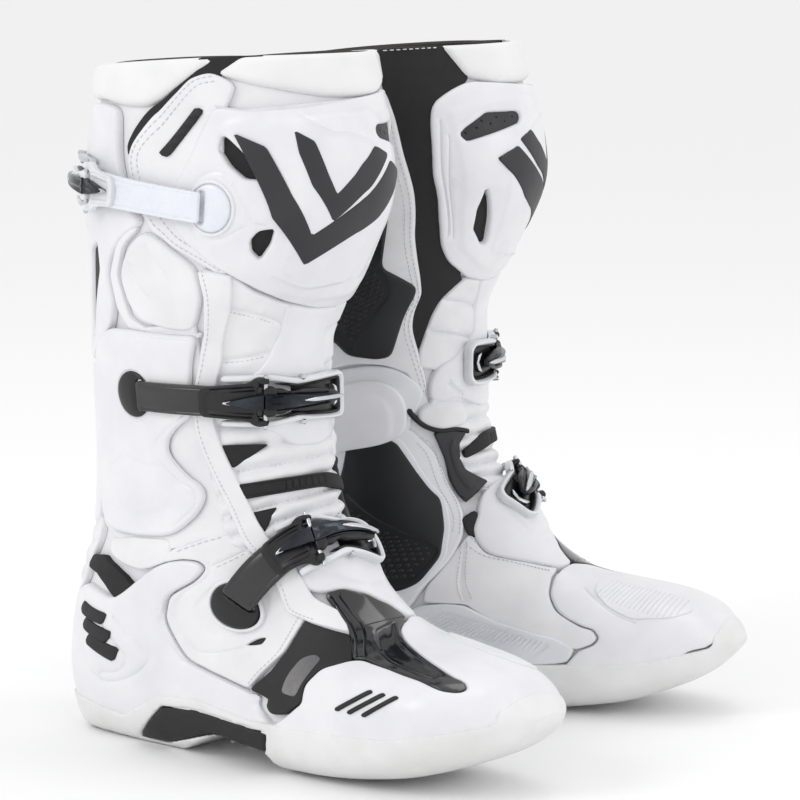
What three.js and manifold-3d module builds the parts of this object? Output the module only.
// A pair of motocross riding boots with hinged ankles, three strap buckles each and separate
// inner booties. Millimetres, +X towards the toes, +Y to the wearer's left, +Z up.
// The right boot is modelled in its own frame (+X toes, y = 0 through the middle of the boot,
// lateral side at -y) and the left boot is its mirror image.
import * as THREE from 'three';
import { mergeVertices } from 'three/addons/utils/BufferGeometryUtils.js';
import Module from 'manifold-3d';

const wasm = await Module();
wasm.setup();

// ------------------------------------------------------------------ driving dimensions

const YAW = THREE.MathUtils.degToRad(9.5); // each boot's toes turn outwards
const HALF_SPACING = 83; // a boot's own origin to the pair's centre line
const PAIR_CENTRE_X = 58.1; // middle of the pair's box, measured along +X

// The boot's outer surface is a loft through slanted sections from the mouth to the toe tip.
// Each row: front x, z; back (or sole) x, z; lateral and medial half widths; roundness of the
// section's front half and of its back half.
const SECTIONS = [
  [79, 392, -78, 381, 65, 71, 2.3, 2.4],
  [96, 316, -86, 298, 65, 69, 2.3, 2.4],
  [77, 266, -86, 246, 61, 60, 2.3, 2.4],
  [61, 228, -86, 203, 57, 50, 2.3, 2.4],
  [66, 158, -89, 124, 53, 44, 2.3, 2.4],
  [73, 136, -101, 82, 56, 46, 2.3, 2.5],
  [90, 120, -107, 36, 54, 46, 2.3, 2.8],
  [104, 100, -92, 2, 51, 47, 2.3, 3.2],
  [120, 87, -33, 0, 52, 48, 2.3, 3.6],
  [138, 79, 55, 2, 58, 48, 2.3, 3.8],
  [160, 75, 102, 3, 62, 46, 2.4, 3.8],
  [183, 71, 150, 8, 60, 43, 2.4, 3.6],
  [204, 64, 187, 18, 48, 36, 2.4, 3.2],
  [217, 53, 209, 28, 31, 27, 2.3, 2.6],
  [225, 45, 222, 40, 8, 9, 2.0, 2.0],
];
const SIDES = 12; // points round a section
const TOE_END = [155, 224]; // over this stretch of x the offset comes to act along the boot too
const SMALLEST = 0.35; // a section never shrinks below this share of its size
const MOUTH_LIFT = 40; // how far a cutting loft runs past the mouth

// Layers, as offsets in mm from the outer surface.
const BOOTIE = [-17, -9.6];
const UPPER = [-8.8, -5.8];
const PLATE = [-5.2, 0];
const GUARD = [-4.7, 0]; // the ankle guards stand a little further off what they slide over
const COLLAR = [-5.2, -1.5];
const DISC = [0.5, 3.1];
const STRAP = [3.6, 5.6];
const LEVER = [6, 10];
const RECEIVER_BASE = [0.5, 2.6];
const RECEIVER_WALL = [0.5, 8.5];
const CATCH = [2, 5];

// Heights above the ground.
const SOLE_DROP = 3; // the sole's loft is lowered by this and cut flat at the ground
const SOLE_FLOOR = 23.7; // top of the sole inside its rim
const RIM_CLEARANCE = -5.5; // inner face of the sole's rim, as an offset
const UPPER_FLOOR = [24, 27];
const BOOTIE_FLOOR = [27.5, 33];
const BOOTIE_TOE = 198; // front end of the bootie
const BRIDGE = { from: -60, to: 100, halfWidth: 38, low: 20.6 }; // the sole's bar over its arch
const CLEAR = 0.4; // between neighbours

const ANKLE = [-5, 125]; // pivot of the shaft, x and z
const LOBE_RADIUS = 28; // round end of the ankle guards about the pivot
const DISC_RADIUS = 13;
const SLOT = { width: 4, length: 16 };
const DISC_REACH = 40; // a cutter of this length goes right through a disc
const PIN_RADIUS = 1.6;
const PIN_HOLE_RADIUS = 2;
const PIN_SLACK = 0.05; // the lever's root is this much thinner than its body
const WIDE = 160; // longer than half of the boot in any direction

// A strap and its buckle lie along a plane through the boot. Angles are in degrees about the
// centre, from the zero direction towards +y: the disc's middle, the slot where the strap
// starts, the lever's pin, the lever's tip, and the receiver's two ends.
const BANDS = {
  calf: {
    centre: [5, 0, 310], normal: [0.092, 0, 1], zero: [1, 0, 0],
    disc: -60, slot: -64, pin: -132, tip: -166, receiver: [-158, -178],
    strapHalfWidth: 10,
  },
  ankle: {
    centre: [0, 0, 201], normal: [0, 0, 1], zero: [1, 0, 0],
    disc: -111, slot: -106, pin: -32, tip: 8, receiver: [-4, 22],
    strapHalfWidth: 9,
  },
  instep: {
    centre: [61.7, 0, 85], normal: [-0.806, 0.322, 0.497], zero: [0, 0, 1],
    disc: -86, slot: -80, pin: -18, tip: 24, receiver: [14, 40],
    strapHalfWidth: 10,
  },
};
const LEVER_HALF_WIDTH = 8;
const EAR = [10, 12.5]; // near and far side of a strap ear, across the band
const WALL = [10.6, 13]; // the same for a receiver wall
const CATCH_HALF_WIDTH = 1.5; // of the receiver's catch bar, in degrees
const ROOT = { halfWidth: 6.5, degrees: 6 }; // narrow start of a strap, where it leaves its slot

// Parts of a strap's end, in degrees from the pin: before it, or past it where positive.
const STRAP_END = { plateFrom: -8, earsFrom: -4, plateTo: -1, earsTo: 3 };

// ------------------------------------------------------------------ the outer surface

const TOE_DIRECTION = new THREE.Vector3(1, 0, -0.5).normalize();

// Points of one section, moved out by offset.
function ring(section, offset) {
  const [frontX, frontZ, backX, backZ, lateral, medial, frontPower, backPower] = section;
  const front = new THREE.Vector3(frontX, 0, frontZ);
  const back = new THREE.Vector3(backX, 0, backZ);
  const centre = front.clone().add(back).multiplyScalar(0.5);
  const half = back.clone().sub(centre);
  const grown = (size) => Math.max(size + offset, size * SMALLEST);
  half.setLength(grown(half.length()));
  const end = THREE.MathUtils.smoothstep(centre.x, ...TOE_END);
  centre.addScaledVector(TOE_DIRECTION, offset * end);
  const points = [];
  for (let j = 0; j < SIDES; j += 1) {
    const angle = (2 * Math.PI * j) / SIDES;
    const [cos, sin] = [Math.cos(angle), Math.sin(angle)];
    const power = 2 / (cos > 0 ? backPower : frontPower);
    const along = Math.sign(cos) * Math.abs(cos) ** power;
    const across = Math.sign(sin) * Math.abs(sin) ** power;
    const width = grown(sin < 0 ? lateral : medial);
    points.push(centre.clone().addScaledVector(half, along).setY(across * width));
  }
  return points;
}

function middleOf(points) {
  const middle = new THREE.Vector3();
  points.forEach((point) => middle.add(point));
  return middle.divideScalar(points.length);
}

// Closed loft of the whole boot at an offset. A cutting loft runs on past the mouth.
function loftGeometry(offset, { cutting = false } = {}) {
  const rings = SECTIONS.map((section) => ring(section, offset));
  if (cutting) rings.unshift(rings[0].map((p) => p.clone().setZ(p.z + MOUTH_LIFT)));
  const vertices = rings.flat();
  const topMiddle = vertices.push(middleOf(rings[0])) - 1;
  const toeMiddle = vertices.push(middleOf(rings.at(-1))) - 1;
  const faces = [];
  for (let i = 0; i < rings.length - 1; i += 1) {
    for (let j = 0; j < SIDES; j += 1) {
      const [a, b] = [i * SIDES + j, i * SIDES + ((j + 1) % SIDES)];
      faces.push(a, b, a + SIDES, b, b + SIDES, a + SIDES);
    }
  }
  const lastRing = (rings.length - 1) * SIDES;
  for (let j = 0; j < SIDES; j += 1) {
    const next = (j + 1) % SIDES;
    faces.push(topMiddle, next, j, toeMiddle, lastRing + j, lastRing + next);
  }
  const geometry = new THREE.BufferGeometry();
  const places = vertices.flatMap((vertex) => [...vertex]);
  geometry.setAttribute('position', new THREE.Float32BufferAttribute(places, 3));
  geometry.setIndex(faces);
  return geometry;
}

// ------------------------------------------------------------------ solids

function solidOf(geometry) {
  const bare = geometry.clone();
  bare.deleteAttribute('normal');
  bare.deleteAttribute('uv');
  const merged = mergeVertices(bare, 1e-4);
  const vertProperties = new Float32Array(merged.attributes.position.array);
  const triVerts = new Uint32Array(merged.index.array);
  return new wasm.Manifold(new wasm.Mesh({ numProp: 3, vertProperties, triVerts }));
}

const loft = (offset, options) => solidOf(loftGeometry(offset, options));

// The space between two offsets of the outer surface, open at the mouth.
const shells = new Map();
function shell([inner, outer]) {
  const key = `${inner} ${outer}`;
  if (!shells.has(key)) shells.set(key, loft(outer).subtract(loft(inner, { cutting: true })));
  return shells.get(key);
}

function box(low, high) {
  const size = high.map((value, i) => value - low[i]);
  const geometry = new THREE.BoxGeometry(...size);
  geometry.translate(...low.map((value, i) => value + size[i] / 2));
  return solidOf(geometry);
}

const above = (height) => box([-2 * WIDE, -WIDE, height], [2 * WIDE, WIDE, 4 * WIDE]);

// Side-view outline with every edge moved in by half of the clearance to its neighbour.
function drawnIn(points) {
  return points.map((point, i) => {
    const before = points.at(i - 1);
    const after = points[(i + 1) % points.length];
    const normals = [[before, point], [point, after]].map(([a, b]) => {
      const length = Math.hypot(b[0] - a[0], b[1] - a[1]);
      return [(a[1] - b[1]) / length, (b[0] - a[0]) / length];
    });
    const [m, n] = normals;
    const scale = CLEAR / 2 / Math.max(1 + m[0] * n[0] + m[1] * n[1], 0.2);
    return [point[0] + scale * (m[0] + n[0]), point[1] + scale * (m[1] + n[1])];
  });
}

const SIDES_OF_BOOT = { lateral: [-WIDE, 0], medial: [0, WIDE], both: [-WIDE, WIDE] };

// Prism across the boot from a counterclockwise side-view outline of [x, z] points.
function across(side, outline) {
  const [low, high] = SIDES_OF_BOOT[side];
  const shape = new THREE.Shape(drawnIn(outline).map(([x, z]) => new THREE.Vector2(x, z)));
  const geometry = new THREE.ExtrudeGeometry(shape, { depth: high - low, bevelEnabled: false });
  geometry.rotateX(Math.PI / 2);
  geometry.translate(0, high, 0);
  return solidOf(geometry);
}

function arc([x, z], radius, from, to, count) {
  return Array.from({ length: count }, (_, i) => {
    const angle = THREE.MathUtils.degToRad(from + ((to - from) * i) / (count - 1));
    return [x + radius * Math.cos(angle), z + radius * Math.sin(angle)];
  });
}

const joined = (first, ...others) => others.reduce((sum, solid) => sum.add(solid), first);

// ------------------------------------------------------------------ bands for the straps

const bothFaces = new THREE.MeshBasicMaterial({ side: THREE.DoubleSide });

function bandFrame(band) {
  const normal = new THREE.Vector3(...band.normal).normalize();
  const zero = new THREE.Vector3(...band.zero);
  zero.addScaledVector(normal, -zero.dot(normal)).normalize();
  const side = normal.clone().cross(zero);
  const matrix = new THREE.Matrix4().makeBasis(zero, side, normal);
  matrix.setPosition(...band.centre);
  return { matrix, normal, zero, side };
}

// Point, outward direction and direction across the band at an angle of the band, at an offset
// from the boot's surface.
function onBand(band, degrees, offset = 0) {
  const { zero, side, normal } = bandFrame(band);
  const angle = THREE.MathUtils.degToRad(degrees);
  const direction = zero.clone().multiplyScalar(Math.cos(angle)).addScaledVector(side, Math.sin(angle));
  const ray = new THREE.Raycaster(new THREE.Vector3(...band.centre), direction);
  const hit = ray.intersectObject(new THREE.Mesh(loftGeometry(offset), bothFaces))[0];
  const outward = hit.face.normal.clone();
  const sideways = normal.clone().addScaledVector(outward, -outward.dot(normal)).normalize();
  return { point: hit.point, outward, sideways };
}

// Wedge of the band between two angles, from low to high across it.
function wedge(band, from, to, low, high) {
  const [start, end] = from < to ? [from, to] : [to, from];
  const rim = arc([0, 0], WIDE, start, end, 6).map(([x, y]) => new THREE.Vector2(x, y));
  const shape = new THREE.Shape([new THREE.Vector2(0, 0), ...rim]);
  const geometry = new THREE.ExtrudeGeometry(shape, { depth: high - low, bevelEnabled: false });
  geometry.translate(0, 0, low);
  geometry.applyMatrix4(bandFrame(band).matrix);
  return solidOf(geometry);
}

// Round bar with its middle at a point and its axis along a direction.
function bar(point, direction, radius, length, facets = 8) {
  const geometry = new THREE.CylinderGeometry(radius, radius, length, facets);
  const turn = new THREE.Quaternion().setFromUnitVectors(new THREE.Vector3(0, 1, 0), direction);
  geometry.applyQuaternion(turn);
  geometry.translate(point.x, point.y, point.z);
  return solidOf(geometry);
}

const pinPlace = (band) => onBand(band, band.pin, (LEVER[0] + LEVER[1]) / 2);

// Round strap anchor with a slot that the strap comes out of.
function disc(band) {
  const { point, outward } = onBand(band, band.disc);
  const slot = onBand(band, band.slot);
  const round = shell(DISC).intersect(bar(point, outward, DISC_RADIUS, DISC_REACH, 16));
  const basis = new THREE.Matrix4().makeBasis(
    slot.sideways.clone().cross(slot.outward), slot.sideways, slot.outward);
  const cut = new THREE.BoxGeometry(SLOT.width, SLOT.length, DISC_REACH);
  cut.applyMatrix4(basis.setPosition(slot.point));
  return round.subtract(solidOf(cut));
}

// Strap from its slot to the pin, with two ears that carry the lever.
function strap(band) {
  const turn = Math.sign(band.pin - band.slot);
  const width = band.strapHalfWidth;
  const at = (degrees) => band.pin + degrees * turn;
  const wide = band.slot + ROOT.degrees * turn;
  const part = (layer, ...limits) => shell(layer).intersect(wedge(band, ...limits));
  const root = part(STRAP, band.slot, at(STRAP_END.earsFrom), -ROOT.halfWidth, ROOT.halfWidth);
  const ribbon = part(STRAP, wide, at(STRAP_END.plateTo), -width, width);
  const plate = part(STRAP, at(STRAP_END.plateFrom), at(STRAP_END.plateTo), -EAR[1], EAR[1]);
  const ears = [EAR, [-EAR[1], -EAR[0]]].map(([low, high]) =>
    part([STRAP[0], LEVER[1]], at(STRAP_END.earsFrom), at(STRAP_END.earsTo), low, high));
  const pin = pinPlace(band);
  const hole = bar(pin.point, pin.sideways, PIN_HOLE_RADIUS, 4 * EAR[1]);
  return joined(root, ribbon, plate, ...ears).subtract(hole);
}

// Curved lever on its cross pin, reaching over the receiver's catch bar.
function lever(band) {
  const pin = pinPlace(band);
  const width = LEVER_HALF_WIDTH;
  const body = shell(LEVER).intersect(wedge(band, band.pin, band.tip, -width, width));
  const root = bar(pin.point, pin.sideways, (LEVER[1] - LEVER[0]) / 2 - PIN_SLACK, 2 * width);
  const crossPin = bar(pin.point, pin.sideways, PIN_RADIUS, 2 * EAR[1] + PIN_RADIUS);
  return joined(body, root, crossPin);
}

// Base plate with two walls and a catch bar under the lever's tip.
function receiver(band) {
  const [from, to] = band.receiver;
  const base = shell(RECEIVER_BASE).intersect(wedge(band, from, to, -WALL[1], WALL[1]));
  const walls = [WALL, [-WALL[1], -WALL[0]]].map(([low, high]) =>
    shell(RECEIVER_WALL).intersect(wedge(band, from, to, low, high)));
  const middle = (from + band.tip) / 2;
  const [start, end] = [middle - CATCH_HALF_WIDTH, middle + CATCH_HALF_WIDTH];
  const catchBar = shell(CATCH).intersect(wedge(band, start, end, -WALL[1], WALL[1]));
  return joined(base, ...walls, catchBar);
}

// ------------------------------------------------------------------ foot

// Side-view points are [x, z]. Top edge of the sole's rim, heel to toe.
const RIM_TO_VAMP = [[-125, 22], [-73, 20], [-42, 16], [-12, 32], [16, 34], [42, 31], [60, 29]];
const RIM_TO_TOE = [[104, 30], [158, 33], [191, 39], [212, 44], [214, 56], [240, 58]];
const ARCH_INSERT = [[-36, 3], [-14, 3], [30, 16], [72, 12], [76, 27], [42, 29], [16, 31], [-10, 29]];
const ARCH_GAP = [[-15, -5], [78, -5], [72, 11.6], [30, 15.6]];
const LOBE_GAP = 29.5; // radius of the foot's recess round the ankle guards

function inSole() {
  const lowered = loftGeometry(0);
  lowered.translate(0, 0, -SOLE_DROP);
  return solidOf(lowered).intersect(above(0));
}

const lastInRim = () => loft(RIM_CLEARANCE, { cutting: true }).intersect(above(SOLE_FLOOR));

function outsole() {
  const top = [...RIM_TO_VAMP, ...RIM_TO_TOE].toReversed();
  const rim = across('both', [[-125, -10], [240, -10], ...top]);
  const { from, to, halfWidth, low } = BRIDGE;
  const bridge = box([from, -halfWidth, low], [to, halfWidth, SOLE_FLOOR + 5]);
  const insert = across('both', ARCH_INSERT).subtract(bridge);
  return inSole().intersect(rim).subtract(across('both', ARCH_GAP)).subtract(insert)
    .subtract(lastInRim());
}

function archInsert() {
  const { from, to, low } = BRIDGE;
  const halfWidth = BRIDGE.halfWidth + CLEAR;
  const bridge = box([from, -halfWidth, low - CLEAR], [to, halfWidth, SOLE_FLOOR + 20]);
  const shrunk = across('both', drawnIn(drawnIn(ARCH_INSERT)));
  return inSole().intersect(shrunk).subtract(bridge).subtract(lastInRim());
}

const FLEX_LOW = [[130, 146], [20, 109], [-5, 93], [-34, 101.5], [-130, 85.5]]; // toe to heel
const FLEX_HIGH = [[-130, 115], [-32, 131], [-5, 158], [18, 153], [130, 212]]; // heel to toe

// A layer with a closed flat bottom.
function lasted([inner, outer], [outerFloor, innerFloor]) {
  const outside = loft(outer).intersect(above(outerFloor));
  const inside = loft(inner, { cutting: true }).intersect(above(innerFloor));
  return outside.subtract(inside);
}

const footUpper = () => lasted(UPPER, UPPER_FLOOR)
  .intersect(across('both', [[-130, -10], [240, -10], [240, 146], ...FLEX_LOW]));
const ankleBellows = () => shell(UPPER)
  .intersect(across('both', [...FLEX_HIGH, ...FLEX_LOW].toReversed()));
const shaftUpper = () => shell(UPPER)
  .intersect(across('both', [...FLEX_HIGH, [130, 440], [-130, 440]]));
const innerBootie = () => lasted(BOOTIE, BOOTIE_FLOOR)
  .intersect(box([-WIDE, -WIDE, 0], [BOOTIE_TOE, WIDE, 4 * WIDE]));

const HEEL_TOP = [[-40, 107.5], [-125, 91]];
const SEAM = 4; // half width of the bars that join two half panels at the middle plane

function footShell() {
  const lateral = across('lateral', [
    ...RIM_TO_VAMP, [62, 62], [76, 80], [80, 98], [62, 113],
    ...arc(ANKLE, LOBE_GAP, -40, -150, 7), ...HEEL_TOP,
  ]);
  const medial = across('medial', [
    ...RIM_TO_VAMP, [104, 30], [107, 59], [95, 67], [56, 69], [-7, 69],
    ...arc(ANKLE, LOBE_GAP, -94, -150, 5), ...HEEL_TOP,
  ]);
  const halves = [lateral, medial].map((half) => shell(PLATE).intersect(half));
  const heelBar = shell(PLATE).intersect(box([-125, -SEAM, 24], [-60, SEAM, 88]));
  return joined(...halves, heelBar);
}

const gripLower = () => shell(PLATE).intersect(across('medial', [
  [-7, 69], [56, 69], [62, 113], ...arc(ANKLE, LOBE_GAP, -40, -94, 5),
]));

const instepGuard = () => shell(PLATE).intersect(across('both', [
  [62, 113], [80, 98], [122, 86], [130, 110], [110, 145], [84, 134], [64, 124],
]));

function vampPanel() {
  const lateral = across('lateral', [
    [60, 29], [104, 30], [107, 59], [122, 72], [126, 100], [122, 86], [80, 98], [76, 80], [62, 62],
  ]);
  const medial = across('medial', [
    [56, 69], [95, 67], [107, 59], [122, 72], [126, 100], [122, 86], [80, 98], [62, 113],
  ]);
  const crown = shell(PLATE).intersect(box([106, -SEAM, 70], [121, SEAM, 110]));
  return joined(...[lateral, medial].map((half) => shell(PLATE).intersect(half)),
    crown.intersect(across('both', [[82, 96], [122, 72], [126, 100], [122, 86]])));
}

const toePlate = () => shell(PLATE).intersect(across('both', [
  ...RIM_TO_TOE, [240, 120], [126, 120], [126, 100], [122, 72], [107, 59],
]));

const shiftPad = () => shell(DISC).intersect(box([140, 8, 50], [198, 38, 100]));

// ------------------------------------------------------------------ shaft

const GUARD_BACK = [[-130, 103.5]];

function guard(side, front) {
  const outline = [...GUARD_BACK, ...arc(ANKLE, LOBE_RADIUS, 195, 390, 10), ...front, [-130, 214]];
  return shell(GUARD).intersect(across(side, outline));
}

const ankleGuard = () => guard('lateral', [[26, 160], [46, 186], [50, 214]]);
const medialGuard = () => guard('medial', [[30, 160], [50, 184], [90, 192], [90, 214]]);

function calfPlate() {
  const lateral = across('lateral', [[-130, 214], [8, 214], [8, 300], [14, 351], [-130, 351]]);
  const medial = across('medial', [[-130, 214], [-14, 214], [-14, 300], [10, 351], [-130, 351]]);
  const backBar = shell(PLATE).intersect(box([-130, -SEAM, 218], [-60, SEAM, 347]));
  return joined(...[lateral, medial].map((half) => shell(PLATE).intersect(half)), backBar);
}

const shinPlate = () => shell(PLATE).intersect(across('both', [
  [60, 250], [120, 236], [120, 375], [40, 369], [38, 286], [50, 264],
]));

const gripUpper = () => shell(PLATE).intersect(across('medial', [
  [-12, 214], [26, 214], [36, 247], [30, 294], [14, 270], [-12, 230],
]));

const gaiter = () => shell(COLLAR).intersect(across('both', [
  [-130, 351], [14, 351], [40, 369], [120, 375], [120, 440], [-130, 440],
]));

// ------------------------------------------------------------------ materials and scene

const finish = (color, roughness, metalness = 0) =>
  new THREE.MeshStandardMaterial({ color, roughness, metalness });
const FINISHES = {
  whitePlate: finish(0xe9e9ee, 0.4),
  whiteLeather: finish(0xececec, 0.75),
  soleRubber: finish(0xe4e5e2, 0.65),
  blackRubber: finish(0x1f2022, 0.7),
  blackPlastic: finish(0x232427, 0.35),
  liner: finish(0x2b2c2f, 0.95),
  strapPlastic: finish(0x3c3a3c, 0.45),
  whiteStrap: finish(0xe4e4e6, 0.5),
  aluminium: finish(0xb9bcc2, 0.3, 0.9),
};

const PIECES = {
  outsole: [outsole, 'soleRubber'],
  arch_insert: [archInsert, 'blackRubber'],
  foot_upper: [footUpper, 'whiteLeather'],
  foot_shell: [footShell, 'whitePlate'],
  toe_plate: [toePlate, 'whitePlate'],
  vamp_panel: [vampPanel, 'blackPlastic'],
  instep_guard: [instepGuard, 'whitePlate'],
  grip_lower: [gripLower, 'blackRubber'],
  shift_pad: [shiftPad, 'whitePlate'],
  inner_bootie: [innerBootie, 'liner'],
  ankle_bellows: [ankleBellows, 'whiteLeather'],
  shaft_upper: [shaftUpper, 'whiteLeather'],
  shin_plate: [shinPlate, 'whitePlate'],
  calf_plate: [calfPlate, 'whitePlate'],
  ankle_guard: [ankleGuard, 'whitePlate'],
  medial_guard: [medialGuard, 'whitePlate'],
  grip_upper: [gripUpper, 'blackRubber'],
  gaiter: [gaiter, 'whiteLeather'],
};
for (const [name, band] of Object.entries(BANDS)) {
  PIECES[`${name}_disc`] = [() => disc(band), 'whitePlate'];
  PIECES[`${name}_strap`] = [() => strap(band), name === 'calf' ? 'whiteStrap' : 'strapPlastic'];
  PIECES[`${name}_lever`] = [() => lever(band), 'aluminium'];
  PIECES[`${name}_receiver`] = [() => receiver(band), 'whitePlate'];
}

function geometryOf(solid) {
  const { vertProperties, triVerts } = solid.getMesh();
  const geometry = new THREE.BufferGeometry();
  geometry.setAttribute('position', new THREE.BufferAttribute(new Float32Array(vertProperties), 3));
  geometry.setIndex(Array.from(triVerts));
  return geometry;
}

// The same shape on the other side of the boot's middle plane, with its faces turned back out.
function mirrored(geometry) {
  const copy = geometry.clone().scale(1, -1, 1);
  const index = copy.index.array;
  for (let i = 0; i < index.length; i += 3) [index[i], index[i + 1]] = [index[i + 1], index[i]];
  return copy;
}

const right = new THREE.Group();
right.position.set(-PAIR_CENTRE_X, -HALF_SPACING, 0);
right.rotation.z = -YAW;
const left = new THREE.Group();
left.position.set(-PAIR_CENTRE_X, HALF_SPACING, 0);
left.rotation.z = YAW;

for (const [name, [make, finishName]] of Object.entries(PIECES)) {
  const geometry = geometryOf(make());
  for (const [side, boot] of [['right', right], ['left', left]]) {
    const shape = side === 'right' ? geometry : mirrored(geometry);
    shape.computeVertexNormals();
    const mesh = new THREE.Mesh(shape, FINISHES[finishName]);
    mesh.name = `${side}_${name}`;
    boot.add(mesh);
  }
}

const group = new THREE.Group();
group.add(right, left);
export default group;
